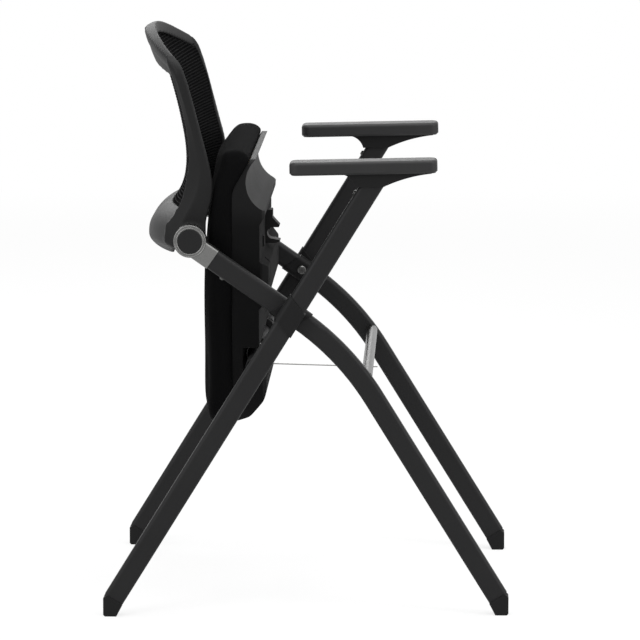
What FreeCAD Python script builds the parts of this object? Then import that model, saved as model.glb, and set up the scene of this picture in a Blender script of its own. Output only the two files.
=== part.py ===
import FreeCAD, Part
import math
import os

# A nesting chair, stored: its seat is flipped up so that the next chair slides in.
# +X is the sitter's forward, +Y the sitter's left, +Z up, in millimetres.
# The origin is on the floor, in the middle of the rectangle of the four feet.

V = FreeCAD.Vector
Y_AXIS = V(0, 1, 0)
Z_AXIS = V(0, 0, 1)

# Frame tube
TUBE_WIDTH = 30.0
TUBE_DEPTH = 20.0
TUBE_CORNER = 6.0
TUBE_WALL = 1.5

# Side frame: a straight rear leg that carries the arm, crossed by a bent front leg
LEG_SLOPE = 58.3
UPPER_SLOPE = 35.0
BEND_RADIUS = 390.0
FOOT_X = 293.5
FOOT_HALF_SPAN = 293.0
CROSSING_Z = 439.5
REAR_LEG_Y = 262.0
FRONT_LEG_Y = 238.0
REAR_LEG_TOP_Z = 635.0

# Sleeves that clamp the two tubes where they cross
SLEEVE_WALL = 2.0
SLEEVE_HALF_LENGTH = 20.0
SLEEVE_SLANT = 6.5
CLAMP_BOLT_RADIUS = 4.0

# Backrest hub
HUB = V(-167.0, 0, 545.0)
HUB_RADIUS = 23.25
HUB_OUTER_Y = 250.0
HUB_INNER_Y = 224.5
HUB_TO_TUBE = 42.0
HUB_SPIGOT_LENGTH = 38.0
HUB_CAP_RADIUS = 17.8
SPRING_POCKET_RADIUS = 17.5
SPRING_POCKET_DEPTH = 13.0
AXLE_RADIUS = 6.0
AXLE_HEAD_RADIUS = 10.0
AXLE_END_Y = 190.0
RUNNING_GAP = 0.05

# Seat hinge, front crossbar and the wire between them
HINGE = V(-76.0, 0, 364.5)
HINGE_TUBE_RADIUS = 11.0
HINGE_TUBE_WALL = 2.0
HINGE_BLOCK_Y = (80.0, 110.0)
HINGE_SCREW_X = 15.5
CROSSBAR = V(87.0, 0, 345.5)
CROSSBAR_RADIUS = 8.0
SPIGOT_RADIUS = 5.0
SPRING_WIRE = 2.0
SPRING_WIRE_SIDES = 8
SPRING_RADIUS = 14.5
SPRING_TURNS = 3
SPRING_PITCH = 2.7
SPRING_LEG_Y = -130.0

# Seat, drawn level as it is sat on and turned up at the end
SEAT_HALF_WIDTH = 213.0
SEAT_REAR_X = -171.0
SEAT_FRONT_X = 218.0
SEAT_BASE_Z = 397.0
SHELL_WALL = 3.0
BOARD_THICKNESS = 10.0
TROUGH_HALF_WIDTH = 20.0
TROUGH_ROOF_Z = 381.5
CROSSBAR_RECESS_Z = 357.0
CUSHION_HALF_WIDTH = 217.0

# Arm pad
ARM_TOP_Z = 665.0
ARM_THICKNESS = 19.0
ARM_REAR_X = -23.0
ARM_FRONT_X = 188.0
ARM_WIDTH = 46.0
ARM_TILT = 1.3
ARM_SCREW_Z = 610.0

# Backrest
BACK_OUTER_Y = 212.0
BACK_INNER_Y = 198.0
HEAD_TOP_Z = 841.0
LUG_RADIUS = 19.5
BUSH_RADIUS = 9.0
BAND_THICKNESS = 12.0
SKIRT_THICKNESS = 4.0
MESH_THICKNESS = 2.0


def xz(x, z, y=0.0):
    return V(x, y, z)


def at_y(point, y):
    return V(point.x, y, point.z)


def mirrored(shape):
    return shape.mirror(V(0, 0, 0), Y_AXIS)


def both(shape):
    return Part.Compound([shape, mirrored(shape)])


def save(name, shape):
    shape.exportStep("parts/" + name + ".step")
    print(name, "valid" if shape.isValid() else "NOT VALID", len(shape.Solids), "solids", round(shape.Volume))


def save_pair(name, right):
    save(name + "_right", right)
    save(name + "_left", mirrored(right))


def rounded_wire(corners, radii):
    """Closed wire through the corners, each corner rounded by its own radius."""
    count = len(corners)
    if not isinstance(radii, (list, tuple)):
        radii = [radii] * count
    arcs = []
    for i in range(count):
        here = corners[i]
        if radii[i] == 0:
            arcs.append((here, here, here))
            continue
        back = (corners[i - 1] - here).normalize()
        ahead = (corners[(i + 1) % count] - here).normalize()
        half_angle = back.getAngle(ahead) / 2
        run = radii[i] / math.tan(half_angle)
        inward = (back + ahead).normalize()
        middle = here + inward * (radii[i] / math.sin(half_angle) - radii[i])
        arcs.append((here + back * run, middle, here + ahead * run))
    edges = []
    for i in range(count):
        start, middle, end = arcs[i]
        before = arcs[i - 1][2]
        if before.distanceToPoint(start) > 1e-6:
            edges.append(Part.LineSegment(before, start).toShape())
        if radii[i] > 0:
            edges.append(Part.Arc(start, middle, end).toShape())
    return Part.Wire(edges)


def side_prism(corners, radii, y_from, y_to):
    """Side outline of (x, z) corners, extruded sideways."""
    wire = rounded_wire([xz(x, z, y_from) for x, z in corners], radii)
    return Part.Face(wire).extrude(V(0, y_to - y_from, 0))


def plan_prism(corners, radii, z_from, z_to):
    """Plan outline of (x, y) corners, extruded upwards."""
    wire = rounded_wire([V(x, y, z_from) for x, y in corners], radii)
    return Part.Face(wire).extrude(V(0, 0, z_to - z_from))


def section_wire(centre, u_axis, v_axis, width, depth, corner):
    """Rounded rectangle about a centre, width along u and depth along v."""
    u = u_axis * (width / 2)
    v = v_axis * (depth / 2)
    return rounded_wire([centre + u + v, centre - u + v, centre - u - v, centre + u - v], corner)


def rounded_bar(start, end, width, depth, corner):
    """Straight bar of rounded rectangular section, depth sideways."""
    along = (end - start).normalize()
    across = along.cross(Y_AXIS)
    wire = section_wire(start, across, Y_AXIS, width, depth, corner)
    return Part.Face(wire).extrude(end - start)


def smooth_loft(wires):
    """Closed solid through like sections, smooth along its length."""
    return Part.makeLoft(wires, True, False, False, 3)


def rod(radius, centre, y_from, y_to):
    """Round rod across the chair about a centre line."""
    return Part.makeCylinder(radius, y_to - y_from, V(centre.x, y_from, centre.z), Y_AXIS)


def ring(outer, inner, centre, y_from, y_to):
    return rod(outer, centre, y_from, y_to).cut(rod(inner, centre, y_from, y_to))


def pan_screw(seat, direction, shank_radius, length, head_radius, head_height):
    """Screw whose head sits on a point and whose shank runs along a direction."""
    shank = Part.makeCylinder(shank_radius, length, seat, direction)
    head = Part.makeCone(head_radius, head_radius * 0.6, head_height, seat, direction * -1)
    return shank.fuse(head)


def hexagon_prism(across_flats, centre, y_from, y_to):
    reach = across_flats / math.sqrt(3)
    turns = [k * math.pi / 3 for k in range(6)]
    corners = [(centre.x + reach * math.cos(a), centre.z + reach * math.sin(a)) for a in turns]
    return side_prism(corners, 0, y_from, y_to)


def tangent_arc(start, tangent, end):
    chord = end - start
    half = chord.Length / 2
    along = V(chord).normalize()
    side = tangent - along * tangent.dot(along)
    if side.Length < 1e-9:
        return Part.LineSegment(start, end).toShape()
    side.normalize()
    bulge = half * math.tan(tangent.getAngle(chord) / 2)
    return Part.Arc(start, (start + end) * 0.5 + side * bulge, end).toShape()


def biarc(start, start_tangent, end, end_tangent):
    """Two arcs that join two points and meet on one tangent."""
    chord = end - start
    both_tangents = start_tangent + end_tangent
    turn = 2 * (1 - start_tangent.dot(end_tangent))
    along = chord.dot(both_tangents)
    reach = (math.sqrt(along * along + turn * chord.dot(chord)) - along) / turn
    joint = (start + end + (start_tangent - end_tangent) * reach) * 0.5
    middle_tangent = (end - joint - end_tangent * reach).normalize()
    return [tangent_arc(start, start_tangent, joint), tangent_arc(joint, middle_tangent, end)]


def wire_solid(edges, diameter, sides):
    """Wire along a path of tangent edges, its round section drawn with flat sides."""
    path = Part.Wire(edges)
    first = path.Edges[0]
    start = first.valueAt(first.FirstParameter)
    tangent = first.tangentAt(first.FirstParameter)
    u = tangent.cross(Y_AXIS).normalize() * (diameter / 2)
    v = tangent.cross(u)
    angles = [2 * math.pi * (k + 0.5) / sides for k in range(sides)]
    corners = [start + u * math.cos(a) + v * math.sin(a) for a in angles]
    return path.makePipeShell([rounded_wire(corners, 0)], True, False)


# Lines of the side frame

TO_ARM = V(math.cos(math.radians(LEG_SLOPE)), 0, math.sin(math.radians(LEG_SLOPE)))
TO_FOOT = V(TO_ARM.x, 0, -TO_ARM.z)
REAR_LEG_BACK = TO_ARM.cross(Y_AXIS)
DOWN_FRONT = V(math.cos(math.radians(UPPER_SLOPE)), 0, -math.sin(math.radians(UPPER_SLOPE)))
FRONT_LEG_UNDER = DOWN_FRONT.cross(Y_AXIS) * -1
CROSSING = V(-FOOT_X, 0, 0) + TO_ARM * (CROSSING_Z / TO_ARM.z)
BEND_ANGLE = math.radians(LEG_SLOPE - UPPER_SLOPE)
BEND_RUN = BEND_RADIUS * math.tan(BEND_ANGLE / 2)
BORE_WIDTH = TUBE_WIDTH - 2 * TUBE_WALL
BORE_DEPTH = TUBE_DEPTH - 2 * TUBE_WALL
BORE_CORNER = TUBE_CORNER - TUBE_WALL


def on_rear_leg(z, y=0.0):
    return at_y(V(-FOOT_X, 0, 0) + TO_ARM * (z / TO_ARM.z), y)


def bend_corner():
    """Where the upper and lower lines of the front leg would meet."""
    gap = V(FOOT_X, 0, 0) - CROSSING
    turn = DOWN_FRONT.x * TO_FOOT.z - DOWN_FRONT.z * TO_FOOT.x
    return CROSSING + DOWN_FRONT * ((gap.x * TO_FOOT.z - gap.z * TO_FOOT.x) / turn)


def front_leg_top():
    along = (CROSSING - HUB).dot(DOWN_FRONT)
    return CROSSING - DOWN_FRONT * (along - HUB_TO_TUBE)


def rear_leg_solid(shrink, y):
    width = TUBE_WIDTH - 2 * shrink
    depth = TUBE_DEPTH - 2 * shrink
    bar = rounded_bar(on_rear_leg(0, y), on_rear_leg(REAR_LEG_TOP_Z, y), width, depth, TUBE_CORNER - shrink)
    keep = Part.makeBox(900, 100, 900, V(-FOOT_HALF_SPAN + SLEEVE_WALL, y - 50, SLEEVE_WALL))
    return bar.common(keep)


def front_leg_solid(shrink, y):
    top = at_y(front_leg_top(), y)
    corner = at_y(bend_corner(), y)
    bend_start = corner - DOWN_FRONT * BEND_RUN
    bend_end = corner + TO_FOOT * BEND_RUN
    foot = V(FOOT_X, y, 0)
    edges = [
        Part.LineSegment(top, bend_start).toShape(),
        tangent_arc(bend_start, DOWN_FRONT, bend_end),
        Part.LineSegment(bend_end, foot).toShape(),
    ]
    width = TUBE_WIDTH - 2 * shrink
    depth = TUBE_DEPTH - 2 * shrink
    profile = section_wire(top, FRONT_LEG_UNDER, Y_AXIS, width, depth, TUBE_CORNER - shrink)
    bar = Part.Wire(edges).makePipeShell([profile], True, False)
    low = V(-900, y - 50, SLEEVE_WALL)
    keep = Part.makeBox(900 + FOOT_HALF_SPAN - SLEEVE_WALL, 100, 900, low)
    return bar.common(keep)


def clamp_sleeve(tube, y, along):
    """Sleeve on one tube at the crossing, its ends cut on a slant."""
    across = along.cross(Y_AXIS)
    centre = at_y(CROSSING, y)
    width = TUBE_WIDTH + 2 * SLEEVE_WALL
    depth = TUBE_DEPTH + 2 * SLEEVE_WALL
    reach = along * (2 * SLEEVE_HALF_LENGTH)
    bar = rounded_bar(centre - reach, centre + reach, width, depth, TUBE_CORNER + SLEEVE_WALL)
    lean = along * SLEEVE_SLANT + across * (width / 2)
    end = along * SLEEVE_HALF_LENGTH
    corners = [centre - end + lean, centre + end + lean, centre + end - lean, centre - end - lean]
    slant = side_prism([(p.x, p.z) for p in corners], 0, y - depth, y + depth)
    return bar.common(slant).cut(tube)


def foot_glide(tube, y, side):
    """Moulded boot on a leg's end, with a flat sole; side is -1 at the rear, 1 in front."""
    corners = [(293.5, 27), (288.0, 31), (265.5, 17), (274.5, 0), (291.0, 0), (293.5, 2.5)]
    outline = [(side * x, z) for x, z in corners]
    half = TUBE_DEPTH / 2 + SLEEVE_WALL
    boot = side_prism(outline, [1, 1, 1, 1, 2, 1], y - half, y + half)
    return boot.cut(tube)


def arm_screw(shank_radius):
    """Screw through the rear leg's back wall into the arm bracket's plug."""
    seat = on_rear_leg(ARM_SCREW_Z, -REAR_LEG_Y) + REAR_LEG_BACK * (TUBE_WIDTH / 2)
    return pan_screw(seat, REAR_LEG_BACK * -1, shank_radius, 12, 4.5, 2.4)


def hub_screw(shank_radius):
    """Screw through the front leg's lower wall into the hub's spigot."""
    along = HUB_SPIGOT_LENGTH - 11
    seat = at_y(front_leg_top() + DOWN_FRONT * along + FRONT_LEG_UNDER * (TUBE_WIDTH / 2), -FRONT_LEG_Y)
    return pan_screw(seat, FRONT_LEG_UNDER * -1, shank_radius, 12, 4.5, 2.4)


def frame_tubes():
    rear_outer = rear_leg_solid(0, -REAR_LEG_Y)
    rear_bore = rear_leg_solid(TUBE_WALL, -REAR_LEG_Y)
    front_outer = front_leg_solid(0, -FRONT_LEG_Y)
    front_bore = front_leg_solid(TUBE_WALL, -FRONT_LEG_Y)
    bolt_bore = rod(CLAMP_BOLT_RADIUS, CROSSING, -(REAR_LEG_Y - 6), -FRONT_LEG_Y + 20)
    spigot_bore = rod(SPIGOT_RADIUS, CROSSBAR, -FRONT_LEG_Y, -FRONT_LEG_Y + 20)
    outer_sleeve = clamp_sleeve(rear_outer, -REAR_LEG_Y, TO_ARM)
    inner_sleeve = clamp_sleeve(front_outer, -FRONT_LEG_Y, DOWN_FRONT)
    rear_leg = rear_outer.cut(rear_bore).cut(bolt_bore).cut(arm_screw(2))
    front_leg = front_outer.cut(front_bore).cut(bolt_bore).cut(spigot_bore).cut(hub_screw(2))
    save_pair("rear_leg", rear_leg)
    save_pair("front_leg", front_leg)
    save_pair("rear_leg_sleeve", outer_sleeve.cut(bolt_bore))
    save_pair("front_leg_sleeve", inner_sleeve.cut(bolt_bore))
    save_pair("rear_glide", foot_glide(rear_outer, -REAR_LEG_Y, -1))
    save_pair("front_glide", foot_glide(front_outer, -FRONT_LEG_Y, 1))
    save("arm_screws", both(arm_screw(2)))
    save("hub_screws", both(hub_screw(2)))
    return rear_outer


def clamp_fasteners():
    """One socket screw a side, from the inner sleeve into a square nut in the rear leg."""
    head_y = -(FRONT_LEG_Y - TUBE_DEPTH / 2 - SLEEVE_WALL)
    nut_y = -(REAR_LEG_Y - TUBE_DEPTH / 2 + TUBE_WALL)
    head_height = 3.6
    head = rod(6.5, CROSSING, head_y, head_y + head_height)
    rim = [e for e in head.Edges if abs(e.BoundBox.Center.y - head_y - head_height) < 0.01]
    head = head.makeChamfer(1.5, rim)
    socket = hexagon_prism(4, CROSSING, head_y + 1.2, head_y + 5)
    shank = rod(CLAMP_BOLT_RADIUS, CROSSING, nut_y - 8, head_y)
    save("clamp_screws", both(shank.fuse(head).cut(socket)))
    nut = rounded_bar(CROSSING - TO_ARM * 8, CROSSING + TO_ARM * 8, 16, 8, 1)
    nut.translate(V(0, nut_y - 4, 0))
    save("clamp_nuts", both(nut.cut(rod(CLAMP_BOLT_RADIUS, CROSSING, nut_y - 8, nut_y))))


def crossbars():
    inner_face = REAR_LEG_Y - TUBE_DEPTH / 2
    tube = ring(HINGE_TUBE_RADIUS, HINGE_TUBE_RADIUS - HINGE_TUBE_WALL, HINGE, -inner_face, inner_face)
    save("hinge_tube", tube)
    span = FRONT_LEG_Y - TUBE_DEPTH / 2
    bar = rod(CROSSBAR_RADIUS, CROSSBAR, -span, span)
    bar = bar.fuse(rod(SPIGOT_RADIUS, CROSSBAR, -span - 8, span + 8)).removeSplitter()
    target, start = spring_lead()[:2]
    wire_hole = Part.makeCylinder(SPRING_WIRE / 2, 60, target, start - target)
    save("front_crossbar", bar.cut(wire_hole))


def stop_lugs():
    """Lugs on the hinge tube that the trough's lower wall meets when the seat is up."""
    reach = TROUGH_HALF_WIDTH - 0.3
    corners = [(3, -9), (13, -6), (15, -reach), (8, -reach)]
    outline = [(HINGE.x + x, HINGE.z + z) for x, z in corners]
    lug = side_prism(outline, [0, 2, 1, 1], -172, -157)
    save("seat_stop_lugs", both(lug.cut(rod(HINGE_TUBE_RADIUS, HINGE, -180, -150))))


def hubs():
    """Cast hub on each front leg's upper end, with the backrest's axle, spring and cap."""
    top = front_leg_top()
    y = -FRONT_LEG_Y
    outer = -HUB_OUTER_Y
    body = rod(HUB_RADIUS, HUB, outer, -HUB_INNER_Y)
    body = body.makeChamfer(1.2, [e for e in body.Edges if abs(e.BoundBox.Center.y - outer) < 0.01])
    behind = at_y(top - DOWN_FRONT * HUB_TO_TUBE, y)
    neck = rounded_bar(behind, at_y(top, y), TUBE_WIDTH + 2, TUBE_DEPTH + 2, TUBE_CORNER)
    end = at_y(top + DOWN_FRONT * HUB_SPIGOT_LENGTH, y)
    spigot = rounded_bar(at_y(top, y), end, BORE_WIDTH, BORE_DEPTH, BORE_CORNER)
    body = body.fuse(neck).fuse(spigot)
    body = body.cut(rod(HUB_CAP_RADIUS, HUB, outer, outer + 3))
    body = body.cut(rod(AXLE_HEAD_RADIUS, HUB, outer, outer + 8))
    body = body.cut(rod(AXLE_RADIUS, HUB, outer, -200))
    body = body.cut(rod(SPRING_POCKET_RADIUS, HUB, -HUB_INNER_Y - SPRING_POCKET_DEPTH, -HUB_INNER_Y))
    save_pair("hub_socket", body.cut(hub_screw(2)))
    cap = rod(HUB_CAP_RADIUS, HUB, outer - 0.6, outer + 3)
    cap = cap.makeChamfer(0.6, [e for e in cap.Edges if abs(e.BoundBox.Center.y - outer + 0.6) < 0.01])
    save_pair("hub_cap", cap)
    axle = rod(AXLE_RADIUS, HUB, outer + 3, -AXLE_END_Y)
    axle = axle.fuse(rod(AXLE_HEAD_RADIUS, HUB, outer + 3, outer + 8)).removeSplitter()
    save("hub_axles", both(axle))
    collar = ring(15.5, 11.5, HUB, -HUB_INNER_Y - SPRING_POCKET_DEPTH + 1, -HUB_INNER_Y - 1)
    save("hub_springs", both(collar))
    washer = ring(11, AXLE_RADIUS, HUB, -BACK_INNER_Y + 1, -BACK_INNER_Y + 2.5)
    save("axle_washers", both(washer))
    nut = hexagon_prism(17, HUB, -BACK_INNER_Y + 2.5, -AXLE_END_Y + 1)
    save("axle_nuts", both(nut.cut(rod(AXLE_RADIUS, HUB, -BACK_INNER_Y, -AXLE_END_Y + 2))))


def arms(rear_leg):
    middle = V((ARM_REAR_X + ARM_FRONT_X) / 2, 0, ARM_TOP_Z - ARM_THICKNESS / 2)
    low = REAR_LEG_Y - ARM_WIDTH / 2
    high = REAR_LEG_Y + ARM_WIDTH / 2
    plan = [(ARM_REAR_X, -low), (ARM_FRONT_X, -low), (ARM_FRONT_X, -high), (ARM_REAR_X, -high)]
    pad = plan_prism(plan, 12, ARM_TOP_Z - ARM_THICKNESS, ARM_TOP_Z)
    pad = pad.makeFillet(5.0, [e for e in pad.Edges if e.BoundBox.ZMin > ARM_TOP_Z - 0.01])
    under = ARM_TOP_Z - ARM_THICKNESS
    pad = pad.makeChamfer(3.0, [e for e in pad.Edges if e.BoundBox.ZMax < under + 0.01])
    pad.rotate(middle, Y_AXIS, -ARM_TILT)
    save_pair("arm_pad", pad)
    half = TUBE_DEPTH / 2 + 3
    outline = [
        Part.Arc(xz(46, 645.5), xz(62.5, 641), xz(72, 627)).toShape(),
        Part.LineSegment(xz(72, 627), xz(110, 627)).toShape(),
        Part.Arc(xz(110, 627), xz(136, 637.5), xz(180, 647)).toShape(),
        Part.LineSegment(xz(180, 647), xz(180, 655)).toShape(),
        Part.LineSegment(xz(180, 655), xz(46, 655)).toShape(),
        Part.LineSegment(xz(46, 655), xz(46, 645.5)).toShape(),
    ]
    bracket = Part.Face(Part.Wire(outline)).extrude(V(0, 2 * half, 0))
    bracket.translate(V(0, -REAR_LEG_Y - half, 0))
    bracket = bracket.cut(pad).cut(rear_leg)
    plug_from = on_rear_leg(ARM_SCREW_Z - 16, -REAR_LEG_Y)
    plug_to = on_rear_leg(REAR_LEG_TOP_Z + 0.5, -REAR_LEG_Y)
    plug = rounded_bar(plug_from, plug_to, BORE_WIDTH, BORE_DEPTH, BORE_CORNER)
    save_pair("arm_bracket", bracket.fuse(plug).cut(arm_screw(2)))


def least_self_gap(points, wire, apart):
    """Least clear space between stretches of a wire that are some way apart along it."""
    least = 1e9
    for i in range(len(points)):
        for j in range(i + apart, len(points)):
            least = min(least, points[i].distanceToPoint(points[j]))
    return least - wire


def on_coil(first_angle, angle):
    """Point and direction on the return spring's coil, which winds round the hinge tube."""
    slope = SPRING_PITCH / (2 * math.pi)
    x = HINGE.x + SPRING_RADIUS * math.cos(angle)
    z = HINGE.z + SPRING_RADIUS * math.sin(angle)
    tangent = V(SPRING_RADIUS * math.sin(angle), slope, -SPRING_RADIUS * math.cos(angle))
    return V(x, SPRING_LEG_Y + slope * (first_angle - angle), z), tangent.normalize()


def spring_lead():
    """End of the spring's long leg, where it leaves the coil, and the angle it leaves at."""
    target = V(CROSSBAR.x + CROSSBAR_RADIUS + 6, SPRING_LEG_Y, CROSSBAR.z)
    to_target = V(target.x - HINGE.x, 0, target.z - HINGE.z)
    open_angle = math.acos(SPRING_RADIUS / to_target.Length)
    first_angle = math.atan2(to_target.z, to_target.x) - open_angle
    return target, on_coil(first_angle, first_angle)[0], first_angle


def return_spring():
    """Torsion spring round the hinge tube; its long leg runs to the crossbar."""
    target, point, first_angle = spring_lead()
    tangent = (point - target).normalize()
    edges = [Part.LineSegment(target, point).toShape()]
    for half_turn in range(2 * SPRING_TURNS + 1):
        after, after_tangent = on_coil(first_angle, first_angle - math.pi * (half_turn + 1))
        edges += biarc(point, tangent, after, after_tangent)
        point, tangent = after, after_tangent
    save("seat_return_spring", wire_solid(edges, SPRING_WIRE, SPRING_WIRE_SIDES))
    turns = range(36 * SPRING_TURNS)
    samples = [on_coil(first_angle, first_angle - k * math.pi / 18)[0] for k in turns]
    print("return spring, least gap to itself", round(least_self_gap(samples, SPRING_WIRE, 18), 2))


# Seat, drawn level

SHELL_OUTLINE = [
    (SEAT_REAR_X, SEAT_BASE_Z),
    (172, SEAT_BASE_Z),
    (SEAT_FRONT_X, 370.5),
    (SEAT_FRONT_X, 346),
    (134, 350),
    (124, CROSSBAR_RECESS_Z),
    (70, CROSSBAR_RECESS_Z),
    (60, 345),
    (14, 345),
    (0, 358),
    (-98, 358),
    (-106, 348),
    (-130, 348),
    (-160, 372),
]
SHELL_ROUNDING = [1, 40, 1, 0, 3, 4, 3, 4, 4, 4, 2, 3, 30, 20]
LIP_HOLLOW = V(184.7, 0, 332.0)
LIP_HOLLOW_RADIUS = 45.0
BOSSES = [(36, 150), (130, 140), (-128, 150)]
BOSS_RADIUS = 7.0


def seat_outline(rear, front, half, rear_corner, front_corner, z_from, z_to):
    """Prism of the seat's plan: a little narrower towards the front and the rear."""
    corners = [(rear, half - 8), (60, half), (front, half - 6)]
    corners += [(x, -y) for x, y in reversed(corners)]
    radii = [rear_corner, 200, front_corner, front_corner, 200, rear_corner]
    return plan_prism(corners, radii, z_from, z_to)


def seat_plan(inset, z_from, z_to):
    half = SEAT_HALF_WIDTH - inset
    rear = SEAT_REAR_X + inset
    front = SEAT_FRONT_X - inset
    return seat_outline(rear, front, half, 45 - inset, 14 - inset, z_from, z_to)


def shell_body(inset, lift):
    """Outer body of the under-shell, or its hollow when inset."""
    half = SEAT_HALF_WIDTH + 10
    side = Part.Face(rounded_wire([xz(x, z, -half) for x, z in SHELL_OUTLINE], SHELL_ROUNDING))
    if inset:
        side = Part.Face(side.makeOffset2D(-inset))
    body = side.extrude(V(0, 2 * half, 0))
    if lift:
        raised = body.copy()
        raised.translate(V(0, 0, lift))
        body = body.fuse(raised)
    wide = SEAT_HALF_WIDTH
    chine = [(wide + 5, 460), (wide + 5, 359), (wide - 5, 353), (wide - 50, 337)]
    corners = [V(SEAT_REAR_X - 20, y, z + inset) for y, z in chine]
    corners += [V(SEAT_REAR_X - 20, -y, z + inset) for y, z in reversed(chine)]
    belly = Part.Face(rounded_wire(corners, 0)).extrude(V(500, 0, 0))
    return body.common(seat_plan(inset, 300, 460)).common(belly)


def lip_hollow(grow):
    """Round hollow across the whole width, behind the lip that fingers lift the seat by."""
    return rod(LIP_HOLLOW_RADIUS + grow, LIP_HOLLOW, -SEAT_HALF_WIDTH - 20, SEAT_HALF_WIDTH + 20)


def wire_channel(grow):
    """Room under the seat for the spring's long leg once the seat is down."""
    return Part.makeBox(70 + grow, 8 + 2 * grow, 353 + grow - 300, V(2, SPRING_LEG_Y - 4 - grow, 300))


def hinge_trough(grow):
    """Cross channel that the hinge tube and its saddles lie in."""
    half = TROUGH_HALF_WIDTH + grow
    return Part.makeBox(2 * half, 500, TROUGH_ROOF_Z + grow - 300, V(HINGE.x - half, -250, 300))


def boss_points():
    return [V(x, side * y, 0) for x, y in BOSSES for side in (-1, 1)]


def shell_screw(point, shank_radius):
    seat = V(point.x, point.y, 362)
    return pan_screw(seat, Z_AXIS, shank_radius, 31, 4.2, 2.6)


def hook_screw(side, shank_radius):
    seat = V(119, side * 7, 346 + 3)
    return pan_screw(seat, Z_AXIS, shank_radius, 24, 3.6, 2.2)


def seat_shell():
    outer = shell_body(0, 0)
    hollow = shell_body(SHELL_WALL, 6).cut(hinge_trough(SHELL_WALL)).cut(wire_channel(2))
    board_under = SEAT_BASE_Z - BOARD_THICKNESS
    for point in boss_points():
        boss = Part.makeCylinder(BOSS_RADIUS, board_under - 330, V(point.x, point.y, 330))
        hollow = hollow.cut(boss)
    hook_boss = Part.makeBox(14, 26, 376 - 350, V(112, -13, 350))
    hollow = hollow.cut(hook_boss).cut(lip_hollow(SHELL_WALL))
    shell = outer.cut(hollow).cut(hinge_trough(0)).cut(wire_channel(0)).cut(lip_hollow(0))
    for point in boss_points():
        shell = shell.cut(Part.makeCylinder(5, 62, V(point.x, point.y, 300)))
        shell = shell.cut(shell_screw(point, 2))
    for side in (-1, 1):
        shell = shell.cut(hook_screw(side, 1.75))
    return shell


def seat_board():
    """Plywood board inside the shell's rim, under the cushion."""
    top = SEAT_BASE_Z
    under = SEAT_BASE_Z - BOARD_THICKNESS
    outline = [(-162, top), (172, top), (192, 385.5), (190, 382), (168, under), (-162, under)]
    board = side_prism(outline, [1, 40, 1, 1, 30, 1], -230, 230).common(seat_plan(SHELL_WALL, 300, 460))
    for point in boss_points():
        board = board.cut(shell_screw(point, 2))
    return board


# Crown of the cushion: place along the seat, height at the middle, half width
CUSHION_STATIONS = [
    (-190, 440, 209),
    (-120, 443, 212),
    (-20, 443, 216),
    (60, 442, 217),
    (110, 438.5, 217),
    (150, 434.5, 216),
    (190, 428.5, 214.5),
    (240, 417, 213),
]
CUSHION_CROWN = 7.0
CUSHION_ROLL = 19.0


def cushion_section(x, top, half):
    """Crowned top, rolled edges and sides that draw in towards the base."""
    shoulder = top - CUSHION_CROWN
    inner = half - CUSHION_ROLL
    low = shoulder - CUSHION_ROLL
    mid_roll = CUSHION_ROLL * math.sqrt(0.5)
    base = 330.0
    draw_in = 5.0

    def edge(kind, *points):
        return kind(*[V(x, y, z) for y, z in points]).toShape()

    return Part.Wire([
        edge(Part.LineSegment, (-half + draw_in, base), (-half, low)),
        edge(Part.Arc, (-half, low), (-inner - mid_roll, low + mid_roll), (-inner, shoulder)),
        edge(Part.Arc, (-inner, shoulder), (0, top), (inner, shoulder)),
        edge(Part.Arc, (inner, shoulder), (inner + mid_roll, low + mid_roll), (half, low)),
        edge(Part.LineSegment, (half, low), (half - draw_in, base)),
        edge(Part.LineSegment, (half - draw_in, base), (-half + draw_in, base)),
    ])


def seat_cushion():
    """Foam block with a crowned top, a waterfall front and drawn-in sides."""
    half = CUSHION_HALF_WIDTH
    rear = SEAT_REAR_X - 4
    front = SEAT_FRONT_X + 13
    outline = [
        (rear + 3, SEAT_BASE_Z),
        (172, SEAT_BASE_Z),
        (SEAT_FRONT_X, 370.5),
        (front, 379),
        (front, 422),
        (150, 446),
        (rear, 460),
    ]
    side = side_prism(outline, [6, 40, 1, 12, 20, 60, 0], -half - 5, half + 5)
    plan = seat_outline(rear, front, half, 48, 20, 300, 470)
    crown = smooth_loft([cushion_section(*station) for station in CUSHION_STATIONS])
    rear_outline = [(rear, 300), (260, 300), (260, 520), (rear, 444)]
    rear_roll = side_prism(rear_outline, [0, 0, 0, 16], -half - 5, half + 5)
    return crown.common(side).common(plan).common(rear_roll)


def hook_bracket():
    """Moulded hook that drops over the crossbar as the seat comes down."""
    gap = CROSSBAR_RADIUS + 0.5
    x = CROSSBAR.x
    top = CROSSBAR_RECESS_Z
    outline = [
        (72, 351),
        (72, 341),
        (x - gap - 4, 335),
        (x - gap - 2, 335),
        (x - gap, 345.5),
        (x - gap, 354),
        (x + gap, 354),
        (x + gap, 337),
        (x + gap + 3, 335.5),
        (110, 346),
        (122, 346),
        (122, top),
        (72, top),
    ]
    rounding = [0, 1, 0.5, 0.5, 0, 8, 8, 0.5, 0.5, 3, 1, 0, 0]
    hook = side_prism(outline, rounding, -12.5, 12.5)
    for side in (-1, 1):
        hook = hook.cut(Part.makeCylinder(4, 3, V(119, side * 7, 346))).cut(hook_screw(side, 1.75))
    return hook


def hinge_screw(side, y, shank_radius):
    seat = V(HINGE.x + side * HINGE_SCREW_X, y, HINGE.z - 5)
    return pan_screw(seat, Z_AXIS, shank_radius, 19, 3.4, 2.2)


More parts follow.
